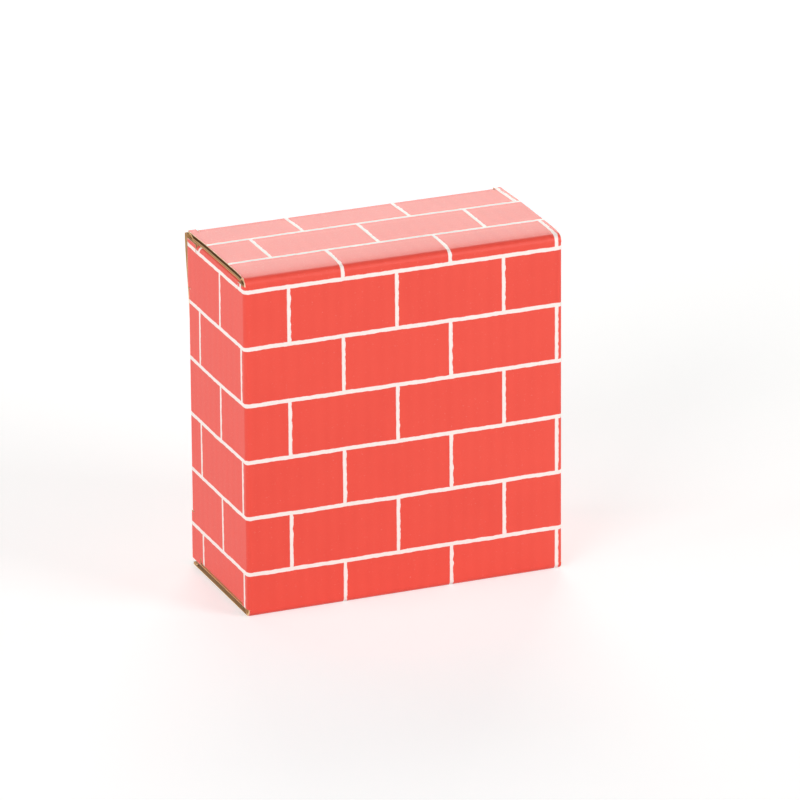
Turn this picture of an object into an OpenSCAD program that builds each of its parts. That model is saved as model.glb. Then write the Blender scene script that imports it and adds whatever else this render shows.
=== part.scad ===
// Giant toy building block: a tuck-end carton folded from one sheet of corrugated board.
// The front carries a lid at its top and one at its bottom, each lid ends in a tuck flap that
// slips inside the back, and each end carries two dust flaps that lie under the lids.
// Every panel is three papers: a printed liner outside, a wavy fluting and a plain liner inside.
// X runs along the width, the front faces -Y, and the block stands on z = 0.

/* [Block] */
// Width of the block, from end to end
block_w = 148; // [140:1:165]
// Depth of the block, from front to back
block_d = 72; // [70:0.5:80]
// Height of the block
block_h = 156; // [140:1:165]

/* [Board] */
// Thickness of the corrugated board
board_t = 3; // [2.8:0.1:3.2]
// Thickness of each flat liner
liner_t = 0.25; // [0.2:0.05:0.35]
// Thickness of the wavy paper between the liners
medium_t = 0.25; // [0.2:0.05:0.3]
// Distance from one flute crest to the next
flute_pitch = 6.4; // [5.8:0.1:7]

/* [Folds] */
// Outer radius of a fold
fold_r = 2; // [1.8:0.1:2.2]
// Thickness of the board where its crease is crushed
crease_t = 1.2; // [1:0.1:1.5]
// Crushed strip on each side of a fold
score_w = 1.5; // [1.4:0.1:1.8]
// Crushed strip on a tuck flap, which folds past the square
tuck_score_w = 2; // [1.9:0.1:2.5]
// Free gap between boards that slip past each other
slip_gap = 0.3; // [0.25:0.05:0.4]
// Cut beside a flap, so that it folds without tearing its neighbour
relief_gap = 0.4; // [0.3:0.1:0.8]
// How far a lid's side edges stay inside the faces of the ends
lid_inset = 0.5; // [0.3:0.1:1]
// Overlap of a fold's bend with its flat strips, which are one sheet
crease_lap = 0.02; // [0.01:0.01:0.05]

/* [Tuck flaps] */
// Length of a tuck flap from its fold
tuck_len = 18; // [14:0.5:18]
// Inward lean of a tucked flap
tuck_lean = 12; // [12:1:14]
// Radius of a tuck flap's free corners
tuck_corner_r = 9; // [6:1:12]
// Free room between a tuck flap and each end
tuck_side_gap = 1.5; // [1:0.5:4]

/* [Dust flaps] */
// Length of a dust flap from its fold
dust_len = 36; // [28:1:36]
// Room between the front's fold and a dust flap
dust_front_room = 6; // [6:0.5:9]
// Room between the back's inner face and a dust flap
dust_rear_room = 11; // [11:0.5:16]
// Slant of a dust flap's front edge
dust_front_slant = 40; // [40:1:43]
// Slant of a dust flap's rear edge
dust_rear_slant = 10; // [5:1:12]

/* [Glue seam] */
// Width of the glue flap from its fold
glue_flap_w = 25; // [18:1:30]
// Height left free above and below the glue flap
glue_flap_inset = 26; // [25:1:32]
// Slant of the glue flap's ends
glue_flap_slant = 15; // [10:1:30]
// Thickness of the dried glue
glue_t = 0.15; // [0.1:0.05:0.2]
// Bare strip left round the glue
glue_margin = 2; // [1:0.5:4]

/* [Hidden] */
print_red = [0.95, 0.35, 0.3];
kraft_tan = [0.8, 0.64, 0.45];
kraft_brown = [0.66, 0.5, 0.33];
glue_cream = [0.9, 0.87, 0.76];

half_turn = 180;
square_fold = 90;
overrun = 1;

half_w = block_w / 2;
half_d = block_d / 2;
core_t = board_t - 2 * liner_t;

// From an outer face to the edge of the full board beside a fold
fold_end = fold_r + score_w;

// Fold axes, as distances from the block's centre planes and base
corner_axis_x = half_w - fold_r;
front_axis_y = -half_d + fold_r;
back_axis_y = half_d - fold_r;
lid_axis_z = block_h - fold_r;

// The tuck flap lies against the back's inner face
back_inner_y = half_d - board_t;
tuck_face_y = back_inner_y - slip_gap;
tuck_axis_y = tuck_face_y - fold_r;
tuck_half_w = half_w - board_t - tuck_side_gap;

// The dust flaps lie against the lid's inner face
dust_face_z = block_h - board_t - slip_gap;
dust_axis_z = dust_face_z - fold_r;
dust_front_y = front_axis_y + dust_front_room;
dust_rear_y = back_inner_y - dust_rear_room;

// The glue flap lies against the back's inner face, with the glue between them
glue_face_y = back_inner_y - glue_t;
glue_axis_y = glue_face_y - fold_r;
glue_top_z = block_h - glue_flap_inset;

// The wave of the fluting, sampled the same number of times in each pitch
flute_steps = 8;
flute_step = flute_pitch / flute_steps;
flute_turn = 2 * half_turn / flute_steps;
crest_gain = 1.1;
wave_rise = (core_t - medium_t) / 2;

$fn = 48;

// Papers of the board. Each is drawn on a panel lying flat, outer face up at z = 0,
// from the panel's outline. The flutes run along the panel's Y.

module printed_liner() {
  color(print_red)
    translate([0, 0, -liner_t])
      linear_extrude(liner_t)
        children();
}

module inner_liner() {
  color(kraft_tan)
    translate([0, 0, -board_t])
      linear_extrude(liner_t)
        children();
}

// Height of the wave at one sample, flat at the crests, where it is glued to the liners
function wave_height(i) =
  wave_rise * max(-1, min(1, crest_gain * sin((i + 1 / 2) * flute_turn)));

function wave_edge(first, last, side) =
  [for (i = [first:last]) [i * flute_step, wave_height(i) + side * medium_t / 2]];

module flute_wave(x_from, x_to) {
  first = floor(x_from / flute_step) - 1;
  last = ceil(x_to / flute_step) + 1;
  upper = wave_edge(first, last, 1);
  lower = wave_edge(first, last, -1);
  count = len(lower);
  polygon(concat(upper, [for (i = [1:count]) lower[count - i]]));
}

module fluting(x_span, y_span) {
  color(kraft_brown)
    intersection() {
      translate([0, y_span[1] + overrun, -board_t / 2])
        rotate([square_fold, 0, 0])
          linear_extrude(y_span[1] - y_span[0] + 2 * overrun)
            flute_wave(x_span[0], x_span[1]);
      translate([0, 0, -board_t])
        linear_extrude(board_t)
          children();
    }
}

// A rectangle from its limits
module area(x_span, y_span) {
  translate([x_span[0], y_span[0]])
    square([x_span[1] - x_span[0], y_span[1] - y_span[0]]);
}

// A fold: the crushed board bends round the Z axis from start to start + turn,
// with a flat strip before the bend and one after it.
module crease(run, start, turn, strip_before, strip_after) {
  color(print_red)
    rotate([0, 0, start]) {
      rotate_extrude(angle = turn)
        translate([fold_r - crease_t, 0])
          square([crease_t, run]);
      translate([fold_r - crease_t, -strip_before, 0])
        cube([crease_t, strip_before + crease_lap, run]);
      rotate([0, 0, turn])
        translate([fold_r - crease_t, -crease_lap, 0])
          cube([crease_t, strip_after + crease_lap, run]);
    }
}

// Stand the fold's Z axis along X, with its X axis along Y
module along_x(half_run) {
  translate([-half_run, 0, 0])
    rotate([square_fold, 0, square_fold])
      children();
}

// Places of the panels: each turns a flat panel, outer face up, to where it stands

module on_front() {
  translate([0, -half_d, 0])
    rotate([square_fold, 0, 0])
      children();
}

module on_right_end() {
  translate([half_w, 0, 0])
    rotate([square_fold, 0, square_fold])
      children();
}

module on_left_end() {
  across() on_right_end() children();
}

// Panels that face the rear are drawn with X reversed, as seen from behind
module facing_rear(face_y) {
  translate([0, face_y, 0])
    rotate([square_fold, 0, half_turn])
      children();
}

module on_top_lid() {
  translate([0, 0, block_h])
    children();
}

module on_top_tuck() {
  translate([0, tuck_axis_y, lid_axis_z])
    rotate([-square_fold - tuck_lean, 0, 0])
      translate([0, 0, fold_r])
        children();
}

// A dust flap's Y runs from its fold to its tip, and its X towards the front
module on_top_left_dust() {
  translate([-corner_axis_x, 0, dust_face_z])
    rotate([0, 0, -square_fold])
      children();
}

module across() {
  mirror([1, 0, 0])
    children();
}

module upside_down() {
  translate([0, 0, block_h])
    mirror([0, 0, 1])
      children();
}

// Limits and outlines of the panels

front_x = [-half_w + fold_end, half_w - fold_end];
front_z = [fold_end, block_h - fold_end];

module front_outline() {
  area(front_x, front_z);
}

// The back's free edge stays flush with the left end's face
back_x = [-half_w + fold_end, half_w];
back_z = [fold_r, block_h - fold_r];

module back_outline() {
  area(back_x, back_z);
}

end_z = [block_h - dust_face_z, dust_face_z];
right_end_y = [-half_d + fold_end, half_d - fold_end];
left_end_y = [-half_d + fold_end, tuck_face_y];

// The cuts at an end's top and bottom edges where the dust flaps fold
module dust_cuts() {
  cut_y = [dust_front_y - relief_gap, dust_rear_y + relief_gap];
  area(cut_y, [dust_axis_z - score_w, block_h]);
  area(cut_y, [0, block_h - dust_axis_z + score_w]);
}

module right_end_outline() {
  difference() {
    area(right_end_y, end_z);
    dust_cuts();
  }
}

module left_end_outline() {
  difference() {
    area(left_end_y, end_z);
    dust_cuts();
    area([glue_axis_y - score_w, half_d], [glue_flap_inset - relief_gap, glue_top_z + relief_gap]);
  }
}

// Seen from behind, the glue flap reaches from its fold at the left end towards the middle
glue_flap_x = [corner_axis_x - glue_flap_w, corner_axis_x - score_w];
glue_flap_drop = glue_flap_w * tan(glue_flap_slant);

module glue_flap_outline() {
  polygon([
    [glue_flap_x[1], glue_flap_inset],
    [glue_flap_x[1], glue_top_z],
    [glue_flap_x[0], glue_top_z - glue_flap_drop],
    [glue_flap_x[0], glue_flap_inset + glue_flap_drop]
  ]);
}

lid_half_w = half_w - lid_inset;
lid_x = [-lid_half_w, lid_half_w];
lid_y = [-half_d + fold_end, tuck_face_y];

module lid_outline() {
  cut_half_w = tuck_half_w + relief_gap;
  difference() {
    area(lid_x, lid_y);
    area([-cut_half_w, cut_half_w], [tuck_axis_y - score_w, half_d]);
  }
}

tuck_x = [-tuck_half_w, tuck_half_w];
tuck_y = [tuck_score_w, tuck_len];

module tuck_outline() {
  tip_half_w = tuck_half_w - tuck_corner_r;
  shoulder_y = tuck_len - tuck_corner_r;
  intersection() {
    area(tuck_x, tuck_y);
    union() {
      area(tuck_x, [0, shoulder_y]);
      area([-tip_half_w, tip_half_w], tuck_y);
      for (side = [-1, 1])
        translate([side * tip_half_w, shoulder_y])
          circle(tuck_corner_r);
    }
  }
}

dust_x = [-dust_rear_y, -dust_front_y];
dust_y = [score_w, dust_len];

module dust_outline() {
  front_cut = tan(dust_front_slant);
  rear_cut = tan(dust_rear_slant);
  polygon([
    [dust_x[0] + score_w * rear_cut, score_w],
    [dust_x[1] - score_w * front_cut, score_w],
    [dust_x[1] - dust_len * front_cut, dust_len],
    [dust_x[0] + dust_len * rear_cut, dust_len]
  ]);
}

// The tube: front, ends and back

module front_printed_liner() { on_front() printed_liner() front_outline(); }
module front_fluting() { on_front() fluting(front_x, front_z) front_outline(); }
module front_inner_liner() { on_front() inner_liner() front_outline(); }

module back_printed_liner() { facing_rear(half_d) printed_liner() back_outline(); }
module back_fluting() { facing_rear(half_d) fluting(back_x, back_z) back_outline(); }
module back_inner_liner() { facing_rear(half_d) inner_liner() back_outline(); }

module left_end_printed_liner() { on_left_end() printed_liner() left_end_outline(); }
module left_end_fluting() { on_left_end() fluting(left_end_y, end_z) left_end_outline(); }
module left_end_inner_liner() { on_left_end() inner_liner() left_end_outline(); }

module right_end_printed_liner() { on_right_end() printed_liner() right_end_outline(); }
module right_end_fluting() { on_right_end() fluting(right_end_y, end_z) right_end_outline(); }
module right_end_inner_liner() { on_right_end() inner_liner() right_end_outline(); }

module glue_flap_printed_liner() { facing_rear(glue_face_y) printed_liner() glue_flap_outline(); }
module glue_flap_fluting() {
  facing_rear(glue_face_y) fluting(glue_flap_x, [glue_flap_inset, glue_top_z]) glue_flap_outline();
}
module glue_flap_inner_liner() { facing_rear(glue_face_y) inner_liner() glue_flap_outline(); }

module glue_line() {
  glue_x = [glue_flap_x[0] + glue_margin, glue_flap_x[1] - glue_margin];
  glue_low_z = glue_flap_inset + glue_flap_drop + glue_margin;
  color(glue_cream)
    facing_rear(back_inner_y)
      translate([0, 0, -glue_t])
        linear_extrude(glue_t)
          area(glue_x, [glue_low_z, block_h - glue_low_z]);
}

// An upright fold of the tube
module corner_crease(axis_x, axis_y, z_span, start) {
  translate([axis_x, axis_y, z_span[0]])
    crease(z_span[1] - z_span[0], start, square_fold, score_w, score_w);
}

module front_left_crease() { corner_crease(-corner_axis_x, front_axis_y, front_z, half_turn); }
module front_right_crease() { corner_crease(corner_axis_x, front_axis_y, front_z, -square_fold); }
module back_right_crease() { corner_crease(corner_axis_x, back_axis_y, end_z, 0); }
module glue_flap_crease() {
  corner_crease(-corner_axis_x, glue_axis_y, [glue_flap_inset, glue_top_z], square_fold);
}

// The top closure

module top_lid_printed_liner() { on_top_lid() printed_liner() lid_outline(); }
module top_lid_fluting() { on_top_lid() fluting(lid_x, lid_y) lid_outline(); }
module top_lid_inner_liner() { on_top_lid() inner_liner() lid_outline(); }
module top_lid_crease() {
  translate([0, front_axis_y, lid_axis_z])
    along_x(lid_half_w)
      crease(2 * lid_half_w, square_fold, square_fold, score_w, score_w);
}

module top_tuck_printed_liner() { on_top_tuck() printed_liner() tuck_outline(); }
module top_tuck_fluting() { on_top_tuck() fluting(tuck_x, tuck_y) tuck_outline(); }
module top_tuck_inner_liner() { on_top_tuck() inner_liner() tuck_outline(); }
module top_tuck_crease() {
  translate([0, tuck_axis_y, lid_axis_z])
    along_x(tuck_half_w)
      crease(2 * tuck_half_w, -tuck_lean, square_fold + tuck_lean, tuck_score_w, score_w);
}

module top_left_dust_printed_liner() { on_top_left_dust() printed_liner() dust_outline(); }
module top_left_dust_fluting() { on_top_left_dust() fluting(dust_x, dust_y) dust_outline(); }
module top_left_dust_inner_liner() { on_top_left_dust() inner_liner() dust_outline(); }
module top_left_dust_crease() {
  translate([-corner_axis_x, dust_rear_y, dust_axis_z])
    rotate([square_fold, 0, 0])
      crease(dust_rear_y - dust_front_y, square_fold, square_fold, score_w, score_w);
}

module top_right_dust_printed_liner() { across() top_left_dust_printed_liner(); }
module top_right_dust_fluting() { across() top_left_dust_fluting(); }
module top_right_dust_inner_liner() { across() top_left_dust_inner_liner(); }
module top_right_dust_crease() { across() top_left_dust_crease(); }

// The bottom closure is the top one upside down

module bottom_lid_printed_liner() { upside_down() top_lid_printed_liner(); }
module bottom_lid_fluting() { upside_down() top_lid_fluting(); }
module bottom_lid_inner_liner() { upside_down() top_lid_inner_liner(); }
module bottom_lid_crease() { upside_down() top_lid_crease(); }

module bottom_tuck_printed_liner() { upside_down() top_tuck_printed_liner(); }
module bottom_tuck_fluting() { upside_down() top_tuck_fluting(); }
module bottom_tuck_inner_liner() { upside_down() top_tuck_inner_liner(); }
module bottom_tuck_crease() { upside_down() top_tuck_crease(); }

module bottom_left_dust_printed_liner() { upside_down() top_left_dust_printed_liner(); }
module bottom_left_dust_fluting() { upside_down() top_left_dust_fluting(); }
module bottom_left_dust_inner_liner() { upside_down() top_left_dust_inner_liner(); }
module bottom_left_dust_crease() { upside_down() top_left_dust_crease(); }

module bottom_right_dust_printed_liner() { upside_down() top_right_dust_printed_liner(); }
module bottom_right_dust_fluting() { upside_down() top_right_dust_fluting(); }
module bottom_right_dust_inner_liner() { upside_down() top_right_dust_inner_liner(); }
module bottom_right_dust_crease() { upside_down() top_right_dust_crease(); }

front_printed_liner();
front_fluting();
front_inner_liner();
back_printed_liner();
back_fluting();
back_inner_liner();
left_end_printed_liner();
left_end_fluting();
left_end_inner_liner();
right_end_printed_liner();
right_end_fluting();
right_end_inner_liner();
glue_flap_printed_liner();
glue_flap_fluting();
glue_flap_inner_liner();
glue_line();
front_left_crease();
front_right_crease();
back_right_crease();
glue_flap_crease();
top_lid_printed_liner();
top_lid_fluting();
top_lid_inner_liner();
top_lid_crease();
top_tuck_printed_liner();
top_tuck_fluting();
top_tuck_inner_liner();
top_tuck_crease();
top_left_dust_printed_liner();
top_left_dust_fluting();
top_left_dust_inner_liner();
top_left_dust_crease();
top_right_dust_printed_liner();
top_right_dust_fluting();
top_right_dust_inner_liner();
top_right_dust_crease();
bottom_lid_printed_liner();
bottom_lid_fluting();
bottom_lid_inner_liner();
bottom_lid_crease();
bottom_tuck_printed_liner();
bottom_tuck_fluting();
bottom_tuck_inner_liner();
bottom_tuck_crease();
bottom_left_dust_printed_liner();
bottom_left_dust_fluting();
bottom_left_dust_inner_liner();
bottom_left_dust_crease();
bottom_right_dust_printed_liner();
bottom_right_dust_fluting();
bottom_right_dust_inner_liner();
bottom_right_dust_crease();
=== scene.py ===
"""A large toy building block: a tuck-end carton of corrugated board, printed as red brickwork.

Sizes are in millimetres in the classes and in metres in the meshes. A panel is drawn lying flat
with its printed face up: X runs across the flutes, Y along them and Z out of the printed face.
Every sheet carries the UV map "blank", the place of each point on the flat cut sheet in
millimetres, so that the print and the paper's grain run on over the folds.
"""

import logging
import math
from dataclasses import dataclass, field, replace
from enum import Enum
from typing import Any, Callable, Sequence

import bmesh
import bpy
import numpy as np
from mathutils import Matrix, Vector


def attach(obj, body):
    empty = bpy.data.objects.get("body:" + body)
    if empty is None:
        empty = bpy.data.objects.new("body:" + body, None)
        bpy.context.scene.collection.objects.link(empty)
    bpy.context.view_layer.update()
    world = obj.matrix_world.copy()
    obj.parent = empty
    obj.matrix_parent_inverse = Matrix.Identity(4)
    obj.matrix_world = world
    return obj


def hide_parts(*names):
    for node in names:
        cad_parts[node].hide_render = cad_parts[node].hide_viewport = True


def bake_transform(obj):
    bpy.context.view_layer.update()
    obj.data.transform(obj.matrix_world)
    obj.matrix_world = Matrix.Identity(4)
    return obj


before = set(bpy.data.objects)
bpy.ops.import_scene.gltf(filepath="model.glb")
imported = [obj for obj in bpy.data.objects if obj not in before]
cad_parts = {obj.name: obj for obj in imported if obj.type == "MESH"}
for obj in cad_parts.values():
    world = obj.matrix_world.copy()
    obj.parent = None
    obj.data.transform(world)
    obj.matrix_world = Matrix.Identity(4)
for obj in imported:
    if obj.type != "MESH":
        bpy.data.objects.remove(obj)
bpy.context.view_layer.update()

log = logging.getLogger("block")

MM = 0.001
BLANK = "blank"

# Places that count as the same, in millimetres.
NEAR = 1e-6
# Grid lines of a sheet: the least room between two, in steps, and the lines across a side's soft strip.
LINE_ROOM = 0.45
EDGE_LINES = (0.0, 0.35, 0.7, 1.0)
# How steeply a panel's bulge falls off from its middle to its sides.
DOME_POWER = 1.5
# How far a cut is drawn past the side of its sheet, in millimetres.
OVERCUT = 1.0
# Grid lines of a fold: steps round its bend, lines at each end, where the even ones start, and their step.
BEND_STEPS = 14
END_LINES = (0.0, 0.5, 1.2, 2.4)
END_ROOM = 5.0
FOLD_STEP = 10.0
# How far a fold's cut ends are crushed from its face and from its inside, in millimetres.
FACE_CRUSH = 0.12
INSIDE_CRUSH = 0.1
# The angle between faces, in degrees, past which their edge is sharp.
SHARP_ANGLE = 40.0

Vec3 = tuple[float, float, float]
Pair = tuple[float, float]
Colour = tuple[float, float, float, float]
Warp = Callable[[np.ndarray, np.ndarray], tuple[np.ndarray, np.ndarray]]
Lift = Callable[[np.ndarray], np.ndarray]


def linear(red: int, green: int, blue: int) -> Colour:
    """Turns a screen colour into the linear colour that a shader takes.

    Args:
        red: Red from 0 to 255.
        green: Green from 0 to 255.
        blue: Blue from 0 to 255.

    Returns:
        The colour as linear red, green, blue and full alpha.
    """
    shares = [channel / 255 for channel in (red, green, blue)]
    made = [s / 12.92 if s <= 0.04045 else ((s + 0.055) / 1.055) ** 2.4 for s in shares]
    return made[0], made[1], made[2], 1.0


def smooth_step(value: np.ndarray) -> np.ndarray:
    """Eases values from 0 to 1 with level ends."""
    held = np.clip(value, 0.0, 1.0)
    return held * held * (3.0 - 2.0 * held)


class Graph:
    """A node tree that is being wired up."""

    def __init__(self, tree: bpy.types.NodeTree) -> None:
        """Takes the tree to fill."""
        self.tree = tree

    def feed(self, socket: bpy.types.NodeSocket, value: Any) -> None:
        """Links a socket to another one, or sets its value.

        Args:
            socket: The input socket.
            value: An output socket, or a plain value.
        """
        if isinstance(value, bpy.types.NodeSocket):
            self.tree.links.new(value, socket)
        else:
            socket.default_value = value

    def node(self, kind: str, inputs: dict[Any, Any] | None = None, **settings: Any) -> bpy.types.Node:
        """Adds a node.

        Args:
            kind: The node's type.
            inputs: What its inputs get, by name or index.
            **settings: The node's own properties.

        Returns:
            The new node.
        """
        made = self.tree.nodes.new(kind)
        for name, value in settings.items():
            setattr(made, name, value)
        for name, value in (inputs or {}).items():
            self.feed(made.inputs[name], value)
        return made

    def math(self, operation: str, *values: Any, clamp: bool = False) -> bpy.types.NodeSocket:
        """Adds one step of arithmetic.

        Args:
            operation: The Math node's operation.
            *values: Its inputs in order.
            clamp: True to hold the result between 0 and 1.

        Returns:
            The result's socket.
        """
        made = self.node("ShaderNodeMath", dict(enumerate(values)), operation=operation)
        made.use_clamp = clamp
        return made.outputs[0]

    def weighed(self, *parts: tuple[Any, float], clamp: bool = False) -> bpy.types.NodeSocket:
        """Adds values up, each times its share.

        Args:
            *parts: The values with their shares.
            clamp: True to hold each sum between 0 and 1.

        Returns:
            The sum's socket.
        """
        terms = [self.math("MULTIPLY", value, share) for value, share in parts]
        total = terms[0]
        for term in terms[1:]:
            total = self.math("ADD", total, term, clamp=clamp)
        return total

    def noise(self, vector: Any, scale: float, detail: float = 2.0,
              output: str = "Fac") -> bpy.types.NodeSocket:
        """Adds fractal noise on the blank.

        Args:
            vector: Where to read it.
            scale: Grains in a millimetre.
            detail: Octaves of finer noise.
            output: "Fac" for one value or "Color" for three.

        Returns:
            The noise, from 0 to 1.
        """
        inputs = {"Vector": vector, "Scale": scale, "Detail": detail}
        return self.node("ShaderNodeTexNoise", inputs, noise_dimensions="2D").outputs[output]

    def ramp(self, value: Any, low: Any, high: Any, start: float = 0.0,
             stop: float = 1.0) -> bpy.types.NodeSocket:
        """Maps low..high to start..stop with smooth ends.

        Args:
            value: What is mapped.
            low: The value that gives start.
            high: The value that gives stop.
            start: The result at low.
            stop: The result at high.

        Returns:
            The mapped value's socket.
        """
        inputs = {"Value": value, "From Min": low, "From Max": high, "To Min": start, "To Max": stop}
        return self.node("ShaderNodeMapRange", inputs, interpolation_type="SMOOTHSTEP").outputs[0]

    def mix(self, factor: Any, first: Any, second: Any, blend: str = "MIX") -> bpy.types.NodeSocket:
        """Mixes two colours.

        Args:
            factor: Share of the second colour.
            first: The first colour.
            second: The second colour.
            blend: How they mix.

        Returns:
            The mixed colour's socket.
        """
        # The Mix node has sockets for each kind of value: these are the colour ones.
        colours = {0: factor, 6: first, 7: second}
        return self.node("ShaderNodeMix", colours, data_type="RGBA", blend_type=blend).outputs[2]

    def scaled(self, vector: Any, scale: Any) -> bpy.types.NodeSocket:
        """Multiplies a vector by a value."""
        return self.node("ShaderNodeVectorMath", {0: vector, "Scale": scale}, operation="SCALE").outputs[0]

    def split(self, vector: Any) -> bpy.types.NodeOutputs:
        """Splits a vector or colour into its three parts."""
        return self.node("ShaderNodeSeparateXYZ", {0: vector}).outputs

    def join(self, x: Any, y: Any, z: Any) -> bpy.types.NodeSocket:
        """Joins three values to a vector."""
        return self.node("ShaderNodeCombineXYZ", {0: x, 1: y, 2: z}).outputs[0]


class ShaderGroup:
    """A shader node group with named inputs and outputs."""

    def __init__(self, name: str, inputs: dict[str, float | None], outputs: Sequence[str]) -> None:
        """Makes the empty group.

        Args:
            name: The group's name.
            inputs: Its inputs, a number for a value and None for the place on the blank.
            outputs: Names of its outputs, all values.
        """
        self.tree = bpy.data.node_groups.new(name, "ShaderNodeTree")
        self.graph = Graph(self.tree)
        for label, value in inputs.items():
            kind = "NodeSocketVector" if value is None else "NodeSocketFloat"
            socket = self.tree.interface.new_socket(label, in_out="INPUT", socket_type=kind)
            if value is not None:
                socket.default_value = value
        for label in outputs:
            self.tree.interface.new_socket(label, in_out="OUTPUT", socket_type="NodeSocketFloat")
        self.given = self.graph.node("NodeGroupInput").outputs
        self.result = self.graph.node("NodeGroupOutput").inputs

    def give(self, label: str, value: Any) -> None:
        """Wires a result to an output."""
        self.graph.feed(self.result[label], value)

    def place(self, graph: Graph, inputs: dict[str, Any]) -> bpy.types.NodeOutputs:
        """Puts the group into a material.

        Args:
            graph: The material's nodes.
            inputs: What the group's inputs get.

        Returns:
            The group's outputs.
        """
        made = graph.node("ShaderNodeGroup", node_tree=self.tree)
        for label, value in inputs.items():
            graph.feed(made.inputs[label], value)
        return made.outputs


def brick_print_group() -> ShaderGroup:
    """Makes the running-bond print: where the mortar lines are, and each brick's own tone.

    All lines drift a little and have uneven sides, and the joints in a course are torn on their right.

    Returns:
        The group. Lengths are in millimetres on the blank.
    """
    sizes = {"Course": 26.0, "Brick": 50.0, "First Line": 0.0, "First Joint": 0.0, "Bed Line": 1.9,
             "Joint": 1.6, "Torn": 0.5}
    made = ShaderGroup("Brick print", {"Blank": None, **sizes}, ("Mortar", "Tone"))
    g, given = made.graph, made.given
    soft, drift_scale, tear_scale = 0.14, 0.06, 0.3
    joint_drift, left_tear, right_tear = 0.4, 0.2, 2.2
    place = g.split(given["Blank"])
    drift = g.split(g.noise(given["Blank"], drift_scale, output="Color"))
    tear = g.math("SUBTRACT", g.noise(given["Blank"], tear_scale, detail=2.5), 0.5)
    uneven = g.math("MULTIPLY", tear, given["Torn"])
    drifts = [g.math("MULTIPLY", g.math("SUBTRACT", part, 0.5), given["Torn"]) for part in drift[:2]]
    course = g.math("ADD", g.math("SUBTRACT", place[1], given["First Line"]), drifts[0])
    course = g.math("DIVIDE", course, given["Course"])
    row = g.math("FLOOR", course)
    half = g.math("FRACT", g.math("MULTIPLY", row, 0.5))
    along = g.math("SUBTRACT", place[0], given["First Joint"])
    along = g.math("ADD", along, g.math("MULTIPLY", drifts[1], joint_drift))
    along = g.math("ADD", g.math("DIVIDE", along, given["Brick"]), half)

    def past_line(value: Any, spacing: Any) -> bpy.types.NodeSocket:
        """Gives how far a point is past the nearest of evenly spaced lines.

        Args:
            value: The coordinate in spacings.
            spacing: The distance between lines.

        Returns:
            The distance in millimetres, negative before the line.
        """
        turn = g.math("SUBTRACT", g.math("FRACT", g.math("ADD", value, 0.5)), 0.5)
        return g.math("MULTIPLY", turn, spacing)

    def within(distance: Any, limit: Any) -> bpy.types.NodeSocket:
        """Gives 1 below a limit and 0 above it, with a soft step.

        Args:
            distance: What is compared.
            limit: Where the step is.

        Returns:
            The mask.
        """
        return g.ramp(distance, g.math("SUBTRACT", limit, soft), g.math("ADD", limit, soft), 1.0, 0.0)

    half_bed = g.math("ADD", g.math("MULTIPLY", given["Bed Line"], 0.5), uneven)
    bed = within(g.math("ABSOLUTE", past_line(course, given["Course"])), half_bed)
    past = past_line(along, given["Brick"])
    half_joint = g.math("MULTIPLY", given["Joint"], 0.5)
    left_half = g.math("ADD", half_joint, g.math("MULTIPLY", tear, left_tear))
    right_half = g.math("ADD", half_joint, g.math("MULTIPLY", uneven, right_tear))
    left = within(g.math("MULTIPLY", past, -1.0), left_half)
    joint = g.math("MULTIPLY", left, within(past, right_half))
    made.give("Mortar", g.math("MAXIMUM", bed, joint))
    brick = g.join(g.math("FLOOR", along), row, 0.0)
    tone = g.node("ShaderNodeTexWhiteNoise", {"Vector": brick}, noise_dimensions="2D").outputs["Value"]
    made.give("Tone", tone)
    return made


def paper_grain_group() -> ShaderGroup:
    """Makes the paper's formation: fine tooth for the bump and slow blotches for the tone.

    Returns:
        The group, with Height and Blotch from 0 to 1.
    """
    made = ShaderGroup("Paper grain", {"Blank": None, "Tooth": 1.0, "Cloud": 0.05}, ("Height", "Blotch"))
    g, given = made.graph, made.given
    coarse_scale, fine_scale = 0.9, 3.1
    coarse_share, fine_share = 0.65, 0.35
    fibres = g.scaled(given["Blank"], given["Tooth"])
    coarse = g.noise(fibres, coarse_scale, detail=3.0)
    fine = g.noise(fibres, fine_scale)
    made.give("Height", g.weighed((coarse, coarse_share), (fine, fine_share)))
    clouds = g.scaled(given["Blank"], given["Cloud"])
    made.give("Blotch", g.noise(clouds, 1.0, detail=3.0))
    return made


def flute_show_group() -> ShaderGroup:
    """Makes the streaks that the flutes leave in a liner, stronger on some flutes than on others.

    Returns:
        The group, with Streak from 0 to 1 and 1 on a crest.
    """
    made = ShaderGroup("Flute show", {"Blank": None, "Pitch": 6.4}, ("Streak",))
    g, given = made.graph, made.given
    change_along, change_scale = 0.02, 0.17
    place = g.split(given["Blank"])
    turn = g.math("MULTIPLY", g.math("DIVIDE", place[0], given["Pitch"]), 2 * math.pi)
    wave = g.math("ADD", g.math("MULTIPLY", g.math("SINE", turn), 0.5), 0.5)
    drawn_out = g.join(place[0], g.math("MULTIPLY", place[1], change_along), 0.0)
    own = g.noise(drawn_out, change_scale)
    made.give("Streak", g.math("MULTIPLY", wave, own))
    return made


def edge_wear_group() -> ShaderGroup:
    """Makes the scuffed rim of a cut or folded edge.

    Returns:
        The group, with Mask from 0 to 1.
    """
    made = ShaderGroup("Edge wear", {"Blank": None, "Nearness": 0.0, "Amount": 0.5}, ("Mask",))
    g, given = made.graph, made.given
    nick_scale, patch_scale = 0.7, 0.08
    nick_share, patch_share = 0.9, 0.5
    mean, soft = 0.7, 0.25
    nicks = g.noise(given["Blank"], nick_scale, detail=3.0)
    patches = g.noise(given["Blank"], patch_scale, detail=1.0)
    broken = g.weighed((nicks, nick_share), (patches, patch_share))
    level = g.math("SUBTRACT", g.math("ADD", given["Nearness"], broken), mean)
    limit = g.math("SUBTRACT", 1.0, given["Amount"])
    made.give("Mask", g.ramp(level, limit, g.math("ADD", limit, soft)))
    return made


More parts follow.
